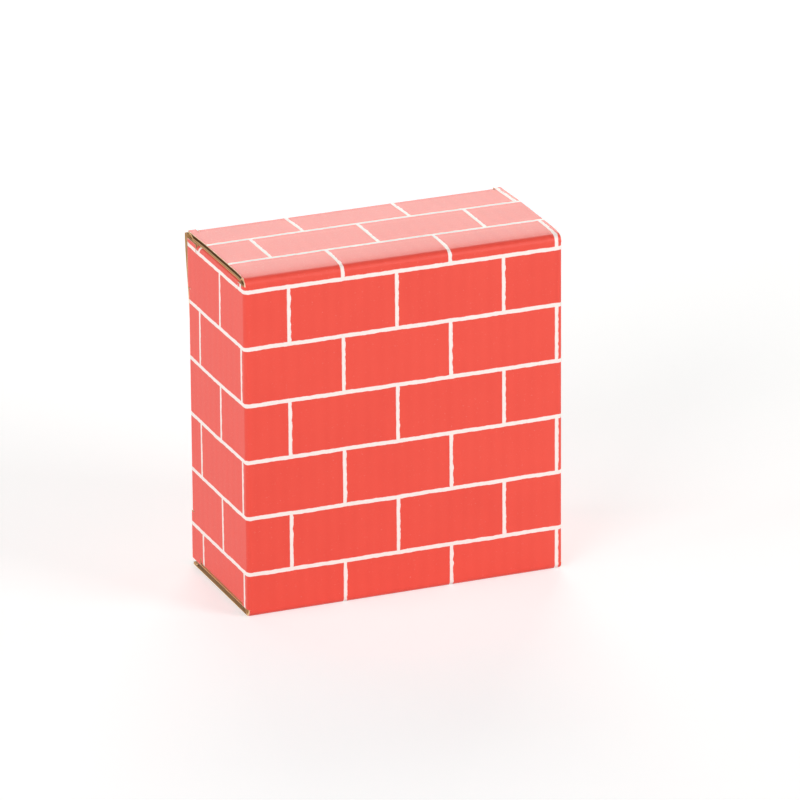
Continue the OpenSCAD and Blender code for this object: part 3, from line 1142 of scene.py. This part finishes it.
class Press:
    """Makes the finished pieces: presses panels' papers, bends folds and fastens the panels, and the folds
    that join one body, to their bodies.
    """

    def __init__(self, board: BoardSizes, block: BlockSizes) -> None:
        """Mixes the finishes and makes the papers' tree.

        Args:
            board: Sizes of the board.
            block: Sizes of the block.
        """
        self.board = board
        self.tree = ply_tree()
        effects = PaperEffects()
        line_drop, joint_share, brick_share = 0.231, -0.193, 0.337
        bricks = BrickPrintFinish(course=block.course, first_line=block.height - line_drop * block.course,
                                  first_joint=joint_share * block.width, brick=brick_share * block.width,
                                  pitch=board.pitch)
        liner = KraftFinish("kraft_liner", linear(226, 177, 116), linear(200, 147, 88), linear(158, 108, 60),
                            board.pitch, streaks=0.3)
        # The fluting's own darker brown, deepened further as painted shade so that the open flute hollows at
        # the cut edges look shaded.
        fluting = KraftFinish("kraft_fluting_and_painted_shade", linear(138, 92, 50), linear(104, 67, 35), linear(76, 47, 24),
                              board.pitch)
        # A paler kraft for the cut edges, lifted further as painted light so that they stay bright in the
        # shade of the parts that overhang them.
        cut_edge = KraftFinish("kraft_cut_edge_and_painted_light", linear(245, 201, 142), linear(222, 171, 112),
                               linear(248, 218, 176), board.pitch)
        self.print_face = bricks.material(effects)
        self.kraft = liner.material(effects)
        self.medium = fluting.material(effects)
        self.cut = cut_edge.material(effects)
        self.glue = DriedGlueFinish().material(effects)
        self.made = 0

    def settings(self, ply: Ply, panel: Panel) -> dict[str, Any]:
        """Gives the tree's inputs for one paper of a panel.

        Args:
            ply: Which paper.
            panel: The panel.

        Returns:
            The inputs by name, lengths in metres.
        """
        board = self.board
        seed = float(sum(map(ord, panel.name)))
        shared = {"Pitch": board.pitch * MM, "Bulge": panel.bulge * MM,
                  "Dent": board.dent * panel.bulge * MM, "Seed": seed, "Cut": self.cut}
        shut = board.thick - board.crushed
        if ply is Ply.PRINTED:
            own = {"Depth": 0.0, "Paper": board.liner, "Rise": board.washboard, "Gain": 1.0, "Flatten": 1.0,
                   "Press": 0.0, "Rim Drop": -board.rim_drop, "Face": self.print_face, "Reverse": self.kraft}
        elif ply is Ply.FLUTING:
            depth = (board.medium - board.thick) / 2
            own = {"Depth": depth, "Paper": board.medium, "Rise": board.wave_rise,
                   "Gain": board.crest_gain, "Flatten": board.flute_flatten, "Press": shut / 2,
                   "Rim Drop": 0.0, "Face": self.medium, "Reverse": self.medium}
        else:
            own = {"Depth": board.liner - board.thick, "Paper": board.liner, "Rise": board.washboard,
                   "Gain": 1.0, "Flatten": 1.0, "Press": shut, "Rim Drop": board.rim_drop,
                   "Face": self.kraft, "Reverse": self.kraft}
        lengths = ("Depth", "Paper", "Rise", "Press", "Rim Drop")
        return {**shared, **{key: value * MM if key in lengths else value for key, value in own.items()}}

    def finish(self, name: str, mesh: bpy.types.Mesh, node: str) -> bpy.types.Object:
        """Puts a finished mesh into the scene in place of its solid.

        Args:
            name: The piece's name.
            mesh: Its mesh, in the row frame.
            node: The solid that it stands for.

        Returns:
            The piece.
        """
        mesh.name = name
        mesh.polygons.foreach_set("use_smooth", [True] * len(mesh.polygons))
        mesh.set_sharp_from_angle(angle=math.radians(SHARP_ANGLE))
        piece = bpy.data.objects.new(name, mesh)
        bpy.context.scene.collection.objects.link(piece)
        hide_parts(node)
        self.made += 1
        log.info("%s: %d faces for %s", name, len(mesh.polygons), node)
        return piece

    def panel(self, panel: Panel) -> None:
        """Presses the three papers of a panel and fastens them to its body.

        Args:
            panel: The panel.
        """
        for ply in Ply:
            mesh = press_sheet(panel.sheet(ply, self.board), self.tree, self.settings(ply, panel))
            matrix = panel.place.matrix()
            mesh.transform(matrix)
            if matrix.determinant() < 0:
                mesh.flip_normals()
            node = f"{panel.name}_{ply.value}"
            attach(self.finish(f"{panel.name}.{ply.value}", mesh, node), panel.body)

    def glue_bead(self, panel: Panel, thick: float) -> None:
        """Lays the dried glue of the seam.

        Args:
            panel: The glued field, drawn as a panel.
            thick: The glue's thickness.
        """
        values = {"Paper": thick * MM, "Depth": 0.0, "Pitch": MM, "Cut": self.glue, "Face": self.glue,
                  "Reverse": self.glue}
        mesh = press_sheet(panel.sheet(Ply.INNER, self.board), self.tree, values)
        mesh.transform(panel.place.matrix())
        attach(self.finish("seam.glue", mesh, panel.name), panel.body)

    def fold(self, fold: Fold) -> None:
        """Bends a crease and fastens it to its body when it joins one body alone; a crease between two
        bodies is left free in the row frame.

        Args:
            fold: The crease.
        """
        mesh = fold.mesh(self.board, (self.print_face, self.kraft, self.cut))
        piece = self.finish(fold.name, mesh, fold.node)
        if len(fold.bodies) == 1:
            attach(piece, fold.bodies[0])
        else:
            start, end = fold.bend_ends(self.board.fold)
            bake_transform(piece)


@dataclass(frozen=True)
class Tube:
    """The four walls of the block, their upright folds and the glued seam at the rear left.

    The dust fields say where the dust flaps fold, the flap ones are the glue flap's sizes, and the
    setback ones say how far the back's free edge is drawn in. Angles are in degrees.
    """

    block: BlockSizes
    board: BoardSizes
    dust_front: float
    dust_rear: float
    dust_axis: float
    flap_width: float = 25.0
    flap_inset: float = 26.0
    flap_slant: float = 15.0
    glue: float = 0.15
    glue_margin: float = 2.0
    setback_top: float = 0.2
    setback: float = 1.8
    setback_taper: float = 42.0
    setback_ease: float = 12.0
    front_bulge: float = 0.35
    back_bulge: float = 0.4
    end_bulge: float = 0.3
    body: str = "walls"

    def front(self) -> Panel:
        """Draws the front.

        Returns:
            The panel.
        """
        w, h, end = self.block.half_w - self.board.fold_end, self.block.height, self.board.fold_end
        place = Place((1, 0, 0), (0, 0, 1), (0, -1, 0), (0, -self.block.half_d, 0), (0, 1), (0, 1))
        folds = (Edge(0, -w, 1), Edge(0, w, -1), Edge(1, end, 1), Edge(1, h - end, -1))
        return Panel("front", self.body, place, (-w, w), (end, h - end), folds, (), bulge=self.front_bulge)

    def back(self) -> Panel:
        """Draws the back, whose free edge lies over the left end.

        Returns:
            The panel.
        """
        w, h, fold = self.block.half_w, self.block.height, self.board.fold
        shift = self.block.width + self.block.depth
        place = Place((-1, 0, 0), (0, 0, 1), (0, 1, 0), (0, self.block.half_d, 0), (shift, 1), (0, 1))
        left = -w + self.board.fold_end
        raws = (Edge(0, w, -1), Edge(1, fold, 1), Edge(1, h - fold, -1))

        def set_back(x: np.ndarray, y: np.ndarray) -> tuple[np.ndarray, np.ndarray]:
            """Draws the free edge in from the left end, less so near the top.

            Args:
                x: Each point's place across the flutes.
                y: Each point's place along them.

            Returns:
                The moved places.
            """
            down = smooth_step((h - fold - y) / self.setback_taper)
            near = smooth_step(1.0 - (w - self.board.rim - x) / self.setback_ease)
            return x - near * (self.setback_top + (self.setback - self.setback_top) * down), y

        return Panel("back", self.body, place, (left, w), (fold, h - fold), (Edge(0, left, 1),), raws,
                     warp=set_back, bulge=self.back_bulge)

    def dust_cuts(self, y_span: Pair) -> tuple[tuple[Pair, Pair], ...]:
        """Gives the cuts in an end's top and bottom edges where the dust flaps fold.

        Args:
            y_span: The end's lowest and highest edge.

        Returns:
            The two cuts.
        """
        across = (self.dust_front - self.board.relief, self.dust_rear + self.board.relief)
        high = self.dust_axis - self.board.score
        top = (across, (high, y_span[1] + OVERCUT))
        bottom = (across, (y_span[0] - OVERCUT, self.block.height - high))
        return top, bottom

    def end(self, side: int) -> Panel:
        """Draws an end.

        Args:
            side: -1 for the left end and 1 for the right one.

        Returns:
            The panel.
        """
        board, h, d = self.board, self.block.height, self.block.half_d
        top = h - board.thick - board.slip
        y_span = (h - top, top)
        cuts = self.dust_cuts(y_span)
        high = self.dust_axis - board.score
        rear = d - board.fold_end if side > 0 else d - board.thick - board.slip
        rear_fold = rear if side > 0 else self.glue_axis - board.score
        front = -d + board.fold_end
        folds = (Edge(0, front, 1), Edge(0, rear_fold, -1), Edge(1, h - high, 1), Edge(1, high, -1))
        raws = (Edge(1, y_span[0], 1), Edge(1, top, -1))
        if side < 0:
            low = self.flap_inset - board.relief
            cuts += (((rear_fold, d), (low, h - low)),)
            raws += (Edge(0, rear, -1),)
        u = (side * (self.block.half_w + d), side)
        place = Place((0, 1, 0), (0, 0, 1), (side, 0, 0), (side * self.block.half_w, 0, 0), u, (0, 1))
        name = "right_end" if side > 0 else "left_end"
        return Panel(name, self.body, place, (front, rear), y_span, folds, raws, cuts, bulge=self.end_bulge)

    @property
    def glue_axis(self) -> float:
        """The glue fold's axis, from the block's middle to the rear."""
        return self.block.half_d - self.board.thick - self.glue - self.board.fold

    def glue_flap(self) -> Panel:
        """Draws the glue flap, which lies inside the back.

        Returns:
            The panel.
        """
        face = self.glue_axis + self.board.fold
        corner = self.block.half_w - self.board.fold
        x_span = (corner - self.flap_width, corner - self.board.score)
        low, high = self.flap_inset, self.block.height - self.flap_inset
        drop = self.flap_width * math.tan(math.radians(self.flap_slant))

        def slanted(x: np.ndarray, y: np.ndarray) -> tuple[np.ndarray, np.ndarray]:
            """Slants the flap's ends."""
            off = (x_span[1] - x) / (x_span[1] - x_span[0]) * drop
            return x, low + off + (y - low) / (high - low) * (high - low - 2 * off)

        u = -self.block.width - face - self.block.half_d
        place = Place((-1, 0, 0), (0, 0, 1), (0, 1, 0), (0, face, 0), (u, 1), (0, 1))
        raws = (Edge(0, x_span[0], 1), Edge(1, low, 1), Edge(1, high, -1))
        folds = (Edge(0, x_span[1], -1),)
        return Panel("glue_flap", self.body, place, x_span, (low, high), folds, raws, warp=slanted)

    def seam(self) -> Panel:
        """Draws the glued field between the glue flap and the back.

        Returns:
            The field, drawn as a panel.
        """
        flap = self.glue_flap()
        low = flap.y_span[0] + self.flap_width * math.tan(math.radians(self.flap_slant)) + self.glue_margin
        x_span = (flap.x_span[0] + self.glue_margin, flap.x_span[1] - self.glue_margin)
        face = self.block.half_d - self.board.thick
        place = Place((-1, 0, 0), (0, 0, 1), (0, 1, 0), (0, face, 0), flap.place.u, flap.place.v)
        return Panel("glue_line", self.body, place, x_span, (low, self.block.height - low), (), ())

    def folds(self) -> list[Fold]:
        """Lists the upright folds.

        Returns:
            The four folds.
        """
        block, board = self.block, self.board
        x, y, end = block.half_w - board.fold, block.half_d - board.fold, board.fold_end
        tall = block.height - 2 * end
        low = board.thick + board.slip
        up = (0, 0, 1)
        made = []
        for name, side in (("front_left", -1), ("front_right", 1)):
            made.append(Fold(f"{name}.fold", f"{name}_crease", (self.body,), axis=(side * x, -y, end),
                             run=up, length=tall, first=(0, -1, 0), second=(side, 0, 0),
                             at=(side * (block.half_w - end), end), path=(side, 0), blank_run=(0, 1),
                             cut_ends=False))
        made.append(Fold("back_right.fold", "back_right_crease", (self.body,), axis=(x, y, low), run=up,
                         length=block.height - 2 * low, first=(1, 0, 0), second=(0, 1, 0),
                         at=(block.half_w + block.depth - end, low), path=(1, 0), blank_run=(0, 1),
                         cut_ends=False))
        rear, inset = self.glue_axis, self.flap_inset
        at = -(block.half_w + block.half_d + rear - board.score)
        made.append(Fold("glue_flap.fold", "glue_flap_crease", (self.body,), axis=(-x, rear, inset), run=up,
                         length=block.height - 2 * inset, first=(-1, 0, 0), second=(0, 1, 0),
                         at=(at, inset), path=(-1, 0), blank_run=(0, 1)))
        return made

    def build(self, press: Press) -> None:
        """Makes the tube's pieces.

        Args:
            press: What makes them.
        """
        for panel in (self.front(), self.back(), self.end(-1), self.end(1), self.glue_flap()):
            press.panel(panel)
        press.glue_bead(self.seam(), self.glue)
        for fold in self.folds():
            press.fold(fold)


class End(Enum):
    """The block's two closures."""

    TOP = "top"
    BOTTOM = "bottom"


@dataclass(frozen=True)
class Closure:
    """A lid with its tuck flap, and the two dust flaps under it.

    The lid bends wider than the hinge's radius by lid_relaxed. It leaves its fold at spring_angle,
    levels out in spring_run and comes down to its rear fold in spring_fall. Angles are in degrees.
    """

    end: End
    block: BlockSizes
    board: BoardSizes
    lid_inset: float = 0.5
    tuck_length: float = 18.0
    tuck_lean: float = 12.0
    tuck_corner: float = 9.0
    tuck_side_gap: float = 1.5
    tuck_score: float = 2.0
    dust_length: float = 36.0
    dust_front_room: float = 6.0
    dust_rear_room: float = 11.0
    dust_front_slant: float = 40.0
    dust_rear_slant: float = 10.0
    spring_angle: float = 8.0
    spring_run: float = 7.0
    spring_fall: float = 18.0
    lid_relaxed: float = 1.0
    lid_bulge: float = 0.25

    @property
    def front_axis(self) -> float:
        """The lid fold's axis, from the block's middle."""
        return -self.block.half_d + self.board.fold

    @property
    def lid_axis(self) -> float:
        """The height of the lid's and tuck flap's fold axes."""
        return self.block.height - self.board.fold

    @property
    def tuck_face(self) -> float:
        """The tuck fold's outermost place towards the back."""
        return self.block.half_d - self.board.thick - self.board.slip

    @property
    def tuck_half(self) -> float:
        """Half the tuck flap's width."""
        return self.block.half_w - self.board.thick - self.tuck_side_gap

    @property
    def dust_face(self) -> float:
        """The height of a dust flap's printed face."""
        return self.block.height - self.board.thick - self.board.slip

    @property
    def dust_axis(self) -> float:
        """The height of a dust flap's fold axis."""
        return self.dust_face - self.board.fold

    @property
    def dust_front(self) -> float:
        """The front end of a dust flap's fold."""
        return self.front_axis + self.dust_front_room

    @property
    def dust_rear(self) -> float:
        """The rear end of a dust flap's fold."""
        return self.block.half_d - self.board.thick - self.dust_rear_room

    def named(self, what: str) -> str:
        """Gives a piece's name at this end of the block."""
        return f"{self.end.value}_{what}"

    def placed(self, place: Place) -> Place:
        """Gives a place of the top closure at this end of the block."""
        return place if self.end is End.TOP else place.upside_down(self.block.height)

    @property
    def spring(self) -> float:
        """The angle at which the lid leaves its fold: the block's weight holds the bottom one flat."""
        return self.spring_angle if self.end is End.TOP else 0.0

    def lid_fold(self) -> Fold:
        """Draws the lid's fold.

        Returns:
            The fold at the block's top.
        """
        half = self.block.half_w - self.lid_inset
        return Fold("lid", "", ("walls", self.named("lid")), axis=(-half, self.front_axis, self.lid_axis),
                    run=(1, 0, 0), length=2 * half, first=(0, -1, 0), second=(0, 0, 1),
                    at=(-half, self.block.height - self.board.fold_end), path=(0, 1), blank_run=(1, 0),
                    relaxed=self.lid_relaxed, spring=self.spring)

    def lid(self) -> Panel:
        """Draws the lid.

        Returns:
            The panel.
        """
        board, half = self.board, self.block.half_w - self.lid_inset
        front, rear = -self.block.half_d + board.fold_end, self.tuck_face
        notch = rear - board.fold - board.score
        cut = self.tuck_half + board.relief
        place = Place((1, 0, 0), (0, 1, 0), (0, 0, 1), (0, 0, self.block.height), (0, 1),
                      (self.block.height + self.block.half_d, 1))
        folds = (Edge(1, front, 1), Edge(1, notch, -1))
        raws = (Edge(0, -half, 1), Edge(0, half, -1))
        bulge = self.lid_bulge if self.end is End.TOP else 0.0
        landing = self.lid_fold().run_out(board)[1]
        climb = math.tan(math.radians(self.spring)) * self.spring_run / 2

        def sprung(y: np.ndarray) -> np.ndarray:
            """Lifts the lid off its front fold and lets it down to its rear one."""
            left = 1.0 - np.clip((y - front) / self.spring_run, 0.0, 1.0)
            return (landing + climb * (1.0 - left ** 2)) * smooth_step((notch - y) / self.spring_fall)

        name, cuts = self.named("lid"), (((-cut, cut), (notch, rear + OVERCUT)),)
        return Panel(name, name, self.placed(place), (-half, half), (front, rear), folds, raws, cuts,
                     bulge=bulge, lift=sprung)

    def tuck(self) -> Panel:
        """Draws the tuck flap, which leans inwards from the back.

        Returns:
            The panel.
        """
        lean = math.radians(90 + self.tuck_lean)
        y_axis = (0, math.cos(lean), -math.sin(lean))
        z_axis = (0, math.sin(lean), math.cos(lean))
        axis_y = self.tuck_face - self.board.fold
        origin = (0, axis_y + self.board.fold * z_axis[1], self.lid_axis + self.board.fold * z_axis[2])
        low, high, half, corner = self.tuck_score, self.tuck_length, self.tuck_half, self.tuck_corner

        def rounded(x: np.ndarray, y: np.ndarray) -> tuple[np.ndarray, np.ndarray]:
            """Rounds the flap's free corners.

            Args:
                x: Each point's place across the flutes.
                y: Each point's place along them.

            Returns:
                The moved places.
            """
            past = np.clip(np.abs(x) - (half - corner), 0, corner)
            top = high - corner + np.sqrt(corner ** 2 - past ** 2)
            return x, low + (y - low) / (high - low) * (top - low)

        v = self.block.height + self.block.half_d + axis_y + 2 * self.board.fold
        place = Place((1, 0, 0), y_axis, z_axis, origin, (0, 1), (v, 1))
        raws = (Edge(0, -half, 1), Edge(0, half, -1), Edge(1, high, -1))
        name, folds = self.named("tuck"), (Edge(1, low, 1),)
        return Panel(name, name, self.placed(place), (-half, half), (low, high), folds, raws, warp=rounded)

    def dust(self, side: int) -> Panel:
        """Draws a dust flap.

        Args:
            side: -1 for the left flap and 1 for the right one.

        Returns:
            The panel.
        """
        x_span, y_span = (-self.dust_rear, -self.dust_front), (self.board.score, self.dust_length)
        rear, front = (math.tan(math.radians(a)) for a in (self.dust_rear_slant, self.dust_front_slant))

        def slanted(x: np.ndarray, y: np.ndarray) -> tuple[np.ndarray, np.ndarray]:
            """Slants the flap's sides."""
            share = (x - x_span[0]) / (x_span[1] - x_span[0])
            return x_span[0] + y * rear + share * (x_span[1] - x_span[0] - y * (rear + front)), y

        corner = side * (self.block.half_w - self.board.fold)
        place = Place((0, -1, 0), (-side, 0, 0), (0, 0, 1), (corner, 0, self.dust_face),
                      (side * (self.block.half_w + self.block.half_d), -side),
                      (self.dust_axis + 2 * self.board.fold, 1))
        raws = (Edge(0, x_span[0], 1), Edge(0, x_span[1], -1), Edge(1, y_span[1], -1))
        name = self.named("left_dust" if side < 0 else "right_dust")
        folds = (Edge(1, y_span[0], 1),)
        return Panel(name, name, self.placed(place), x_span, y_span, folds, raws, warp=slanted)

    def folds(self) -> list[Fold]:
        """Lists the closure's folds.

        Returns:
            The lid's, the tuck flap's and the two dust flaps' folds.
        """
        block, board = self.block, self.board
        tuck, score = self.tuck_half, board.score
        tuck_axis = self.tuck_face - board.fold
        up, back = (0, 0, 1), (0, 1, 0)
        made = [
            self.lid_fold(),
            Fold("tuck", "", (self.named("lid"), self.named("tuck")), axis=(-tuck, tuck_axis, self.lid_axis),
                 run=(1, 0, 0), length=2 * tuck, first=up, second=back,
                 at=(-tuck, block.height + block.half_d + tuck_axis - score), path=(0, 1), blank_run=(1, 0),
                 turn=90 + self.tuck_lean, before=score, after=self.tuck_score),
        ]
        for flap, side in (("left_dust", -1), ("right_dust", 1)):
            u = side * (block.half_w + block.half_d + self.dust_front)
            axis = (side * (block.half_w - board.fold), self.dust_front, self.dust_axis)
            made.append(Fold(flap, "", ("walls", self.named(flap)), axis=axis, run=back,
                             length=self.dust_rear - self.dust_front, first=(side, 0, 0), second=up,
                             at=(u, self.dust_axis - score), path=(0, 1), blank_run=(side, 0)))
        return [self.settled(fold) for fold in made]

    def settled(self, fold: Fold) -> Fold:
        """Gives a fold of the top closure at this end of the block, under its own names.

        Args:
            fold: The fold, named for its flap alone.

        Returns:
            The fold in its place.
        """
        name, node = f"{self.named(fold.name)}.fold", f"{self.named(fold.name)}_crease"
        if self.end is End.BOTTOM:
            return fold.upside_down(name, node, self.block.height)
        return replace(fold, name=name, node=node)

    def build(self, press: Press) -> None:
        """Makes the closure's pieces.

        Args:
            press: What makes them.
        """
        for panel in (self.lid(), self.tuck(), self.dust(-1), self.dust(1)):
            press.panel(panel)
        for fold in self.folds():
            press.fold(fold)


@dataclass(frozen=True)
class SoftBox:
    """A soft lamp with a flat panel, as wide and tall as its size."""

    name: str
    at: Vec3
    size: Pair
    watts: float
    colour: Vec3 = (1.0, 1.0, 1.0)

    def build(self, target: Vector) -> None:
        """Hangs the lamp and turns it to the block.

        Args:
            target: What it lights.
        """
        data = bpy.data.lights.new(self.name, "AREA")
        data.shape = "RECTANGLE"
        data.size, data.size_y = self.size
        data.energy = self.watts
        data.color = self.colour
        lamp = bpy.data.objects.new(self.name, data)
        lamp.location = self.at
        lamp.rotation_mode = "QUATERNION"
        lamp.rotation_quaternion = (target - Vector(self.at)).to_track_quat("-Z", "Y")
        bpy.context.scene.collection.objects.link(lamp)


@dataclass(frozen=True)
class Studio:
    """The pale floor, the soft light and the camera.

    The floor glows a little where it is looked at, by floor_lift near the block and fully past
    floor_fade, a pair of distances in metres.
    """

    azimuth: float = -21.9
    elevation: float = 20.7
    roll: float = -0.4
    distance: float = 3.59
    lens: float = 369.0
    target: Vec3 = (0.012, 0.0, 0.076)
    floor_size: float = 40.0
    sky: float = 0.1
    floor_lift: float = 0.48
    floor_fade: Pair = (0.7, 2.5)
    floor_tone: float = 0.72
    floor_roughness: float = 0.9
    floor_shine: float = 0.1
    sensor: float = 36.0
    clip: Pair = (0.1, 100.0)
    lamps: tuple[SoftBox, ...] = (
        SoftBox("key_box", (-2.25, -1.75, 1.05), (1.6, 1.6), 44.6),
        SoftBox("fill_box", (2.0, -2.2, 0.9), (1.4, 1.4), 56.4),
        SoftBox("left_box", (-2.8, 0.2, 0.85), (1.4, 1.4), 24.5),
        SoftBox("right_box", (2.9, 0.3, 0.85), (1.4, 1.4), 9.0),
        SoftBox("back_box", (-0.4, 2.9, 0.85), (1.4, 1.4), 12.0),
        SoftBox("low_rear_box", (0.87, 2.15, 0.85), (1.2, 1.2), 11.0, (1.0, 1.0, 0.95)),
        SoftBox("high_rear_box", (0.78, 1.95, 1.6), (1.2, 0.9), 13.7, (1.0, 1.0, 0.95)),
    )

    def seen(self, graph: Graph) -> bpy.types.NodeSocket:
        """Gives 1 for rays that show the studio itself: to the camera, in a shine or through glass.

        Args:
            graph: The nodes of the floor or the sky.

        Returns:
            The mask's socket.
        """
        rays = graph.node("ShaderNodeLightPath").outputs
        shown = graph.math("MAXIMUM", rays["Is Camera Ray"], rays["Is Glossy Ray"])
        return graph.math("MAXIMUM", shown, rays["Is Transmission Ray"])

    def floor(self) -> None:
        """Lays the floor, which looks white and keeps the block's shadow."""
        half = self.floor_size / 2
        mesh = bpy.data.meshes.new("floor")
        corners = [(-half, -half, 0), (half, -half, 0), (half, half, 0), (-half, half, 0)]
        mesh.from_pydata(corners, [], [(0, 1, 2, 3)])
        material = bpy.data.materials.new("pale_floor")
        material.use_nodes = True
        shader = material.node_tree.nodes["Principled BSDF"]
        shader.inputs["Base Color"].default_value = (self.floor_tone, self.floor_tone, self.floor_tone, 1.0)
        shader.inputs["Roughness"].default_value = self.floor_roughness
        shader.inputs["Specular IOR Level"].default_value = self.floor_shine
        shader.inputs["Emission Color"].default_value = (1.0, 1.0, 1.0, 1.0)
        g = Graph(material.node_tree)
        spot = g.node("ShaderNodeNewGeometry").outputs["Position"]
        away = g.node("ShaderNodeVectorMath", {0: spot}, operation="LENGTH").outputs["Value"]
        lift = g.ramp(away, *self.floor_fade, self.floor_lift, 1.0)
        g.feed(shader.inputs["Emission Strength"], g.math("MULTIPLY", self.seen(g), lift))
        mesh.materials.append(material)
        floor = bpy.data.objects.new("floor", mesh)
        bpy.context.scene.collection.objects.link(floor)

    def light(self) -> None:
        """Lights the block evenly from a white sky and soft boxes."""
        world = bpy.data.worlds.new("white_studio")
        bpy.context.scene.world = world
        world.use_nodes = True
        g = Graph(world.node_tree)
        strength = g.math("ADD", g.math("MULTIPLY", self.seen(g), 1.0 - self.sky), self.sky)
        back = world.node_tree.nodes["Background"]
        back.inputs["Color"].default_value = (1.0, 1.0, 1.0, 1.0)
        g.feed(back.inputs["Strength"], strength)
        for lamp in self.lamps:
            lamp.build(Vector(self.target))

    def camera(self) -> None:
        """Sets up the camera at the photograph's viewing angle."""
        data = bpy.data.cameras.new("camera")
        data.sensor_width = self.sensor
        data.lens = self.lens
        data.clip_start, data.clip_end = self.clip
        around, up = math.radians(self.azimuth), math.radians(self.elevation)
        back = Vector((math.sin(around) * math.cos(up), -math.cos(around) * math.cos(up), math.sin(up)))
        camera = bpy.data.objects.new("camera", data)
        camera.location = Vector(self.target) + back * self.distance
        camera.rotation_mode = "QUATERNION"
        level = (-back).to_track_quat("-Z", "Y").to_matrix()
        rolled = level @ Matrix.Rotation(math.radians(self.roll), 3, "Z")
        camera.rotation_quaternion = rolled.to_quaternion()
        bpy.context.scene.collection.objects.link(camera)
        bpy.context.scene.camera = camera

    def build(self) -> None:
        """Makes the studio."""
        bpy.context.scene.view_settings.view_transform = "Standard"
        self.floor()
        self.light()
        self.camera()


def main() -> None:
    """Builds the block and its studio."""
    logging.basicConfig(level=logging.INFO, format="%(name)s: %(message)s")
    block, board = BlockSizes(), BoardSizes()
    Studio().build()
    press = Press(board, block)
    top = Closure(End.TOP, block, board)
    Tube(block, board, top.dust_front, top.dust_rear, top.dust_axis).build(press)
    top.build(press)
    Closure(End.BOTTOM, block, board).build(press)
    log.info("%d pieces for %d solids", press.made, len(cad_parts))


if __name__ == "__main__":
    main()
